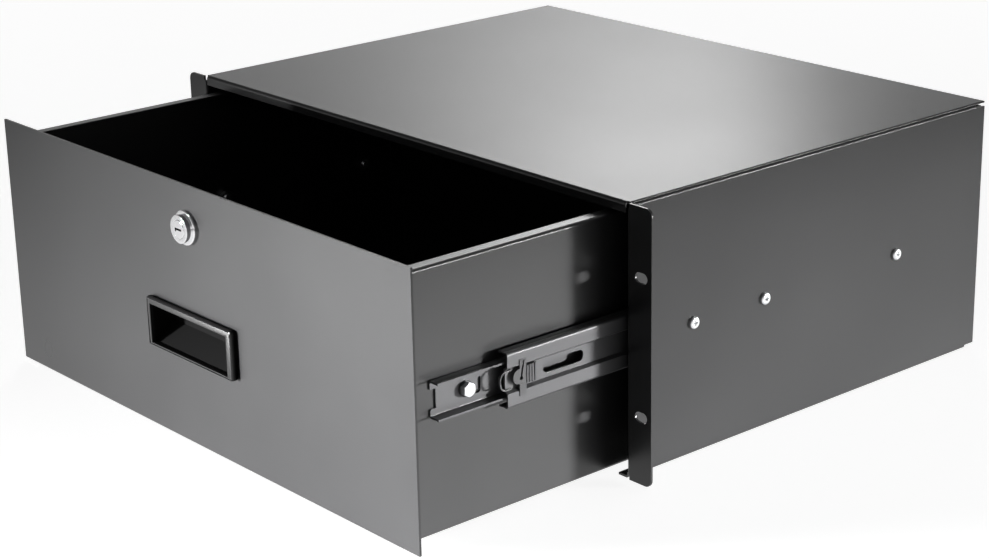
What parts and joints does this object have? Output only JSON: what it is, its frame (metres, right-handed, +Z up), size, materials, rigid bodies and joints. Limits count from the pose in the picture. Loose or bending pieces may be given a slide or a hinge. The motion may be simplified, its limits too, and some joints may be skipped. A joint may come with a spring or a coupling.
{
  "type": "sliding rack drawer",
  "caption": "Lockable steel drawer on telescopic ball slides in a rack-mount case with slotted ears, recessed pull and open underside.",
  "frame": {"origin": "centre of the rack ears' hole pattern, on the front face of the ears", "axes": "+X to the right seen from the front, +Y into the rack, +Z up"},
  "size_m": [0.4826, 0.507, 0.1774],
  "materials": {
    "case_paint": "fine-textured black powder coat",
    "drawer_paint": "fine-textured black powder coat",
    "rail_zinc": "black zinc plate on rolled steel",
    "cage_steel": "plain zinc-plated strip",
    "ball_steel": "polished bearing steel",
    "screw_zinc": "bright zinc plate",
    "washer_black": "black oxide",
    "clip_plastic": "grey moulded acetal",
    "buffer_rubber": "matt black rubber",
    "handle_plastic": "satin black moulded nylon",
    "lock_chrome": "chrome plate on die-cast zinc",
    "lock_nut_metal": "zinc plate"
  },
  "bodies": {
    "case": {"top_cover": "case_paint", "rear_panel": "case_paint", "left_side_panel": "case_paint", "right_side_panel": "case_paint", "left_outer_rail": "rail_zinc", "right_outer_rail": "rail_zinc", "left_case_screws": "screw_zinc", "right_case_screws": "screw_zinc", "left_rear_buffer": "buffer_rubber", "right_rear_buffer": "buffer_rubber"},
    "drawer": {"drawer_tray": "drawer_paint", "drawer_back": "drawer_paint", "front_panel": "drawer_paint", "pull_handle": "handle_plastic", "lock_housing": "lock_chrome", "lock_nut": "lock_nut_metal", "left_inner_rail": "rail_zinc", "right_inner_rail": "rail_zinc", "left_drawer_screws": "screw_zinc", "right_drawer_screws": "screw_zinc", "left_drawer_washers": "washer_black", "right_drawer_washers": "washer_black", "left_drawer_nuts": "screw_zinc", "right_drawer_nuts": "screw_zinc"},
    "lock_plug": {"lock_plug": "lock_chrome", "lock_cam": "screw_zinc", "cam_screw": "screw_zinc"},
    "left_middle": {"left_middle_rail": "rail_zinc", "left_rail_clip": "clip_plastic", "left_front_bow": "rail_zinc"},
    "left_outer_cage": {"left_outer_ball_cage": "cage_steel", "left_outer_balls": "ball_steel"},
    "left_inner_cage": {"left_inner_ball_cage": "cage_steel", "left_inner_balls": "ball_steel"},
    "right_middle": {"right_middle_rail": "rail_zinc", "right_rail_clip": "clip_plastic", "right_front_bow": "rail_zinc"},
    "right_outer_cage": {"right_outer_ball_cage": "cage_steel", "right_outer_balls": "ball_steel"},
    "right_inner_cage": {"right_inner_ball_cage": "cage_steel", "right_inner_balls": "ball_steel"}
  },
  "joints": [
    {"name": "drawer_slide", "type": "slide", "parent": "case", "child": "drawer", "axis": [0, -1, 0], "range_m": [-0.1625, 0.1275]},
    {"name": "lock_turn", "type": "hinge", "parent": "drawer", "child": "lock_plug", "pos_m": [0, -0.1645, 0.0598], "axis": [0, -1, 0], "range_deg": [0, 90]},
    {"name": "left_middle_slide", "type": "slide", "parent": "case", "child": "left_middle", "axis": [0, -1, 0], "range_m": [-0.101, 0.0795]},
    {"name": "left_outer_cage_slide", "type": "slide", "parent": "case", "child": "left_outer_cage", "axis": [0, -1, 0], "range_m": [-0.0506, 0.0398]},
    {"name": "left_inner_cage_slide", "type": "slide", "parent": "case", "child": "left_inner_cage", "axis": [0, -1, 0], "range_m": [-0.1319, 0.1036]},
    {"name": "right_middle_slide", "type": "slide", "parent": "case", "child": "right_middle", "axis": [0, -1, 0], "range_m": [-0.101, 0.0795]},
    {"name": "right_outer_cage_slide", "type": "slide", "parent": "case", "child": "right_outer_cage", "axis": [0, -1, 0], "range_m": [-0.0506, 0.0398]},
    {"name": "right_inner_cage_slide", "type": "slide", "parent": "case", "child": "right_inner_cage", "axis": [0, -1, 0], "range_m": [-0.1319, 0.1036]}
  ],
  "couplings": [
    {"joint": "left_middle_slide", "follows": "drawer_slide", "ratio": 0.62},
    {"joint": "left_outer_cage_slide", "follows": "drawer_slide", "ratio": 0.31},
    {"joint": "left_inner_cage_slide", "follows": "drawer_slide", "ratio": 0.81},
    {"joint": "right_middle_slide", "follows": "drawer_slide", "ratio": 0.62},
    {"joint": "right_outer_cage_slide", "follows": "drawer_slide", "ratio": 0.31},
    {"joint": "right_inner_cage_slide", "follows": "drawer_slide", "ratio": 0.81}
  ]
}
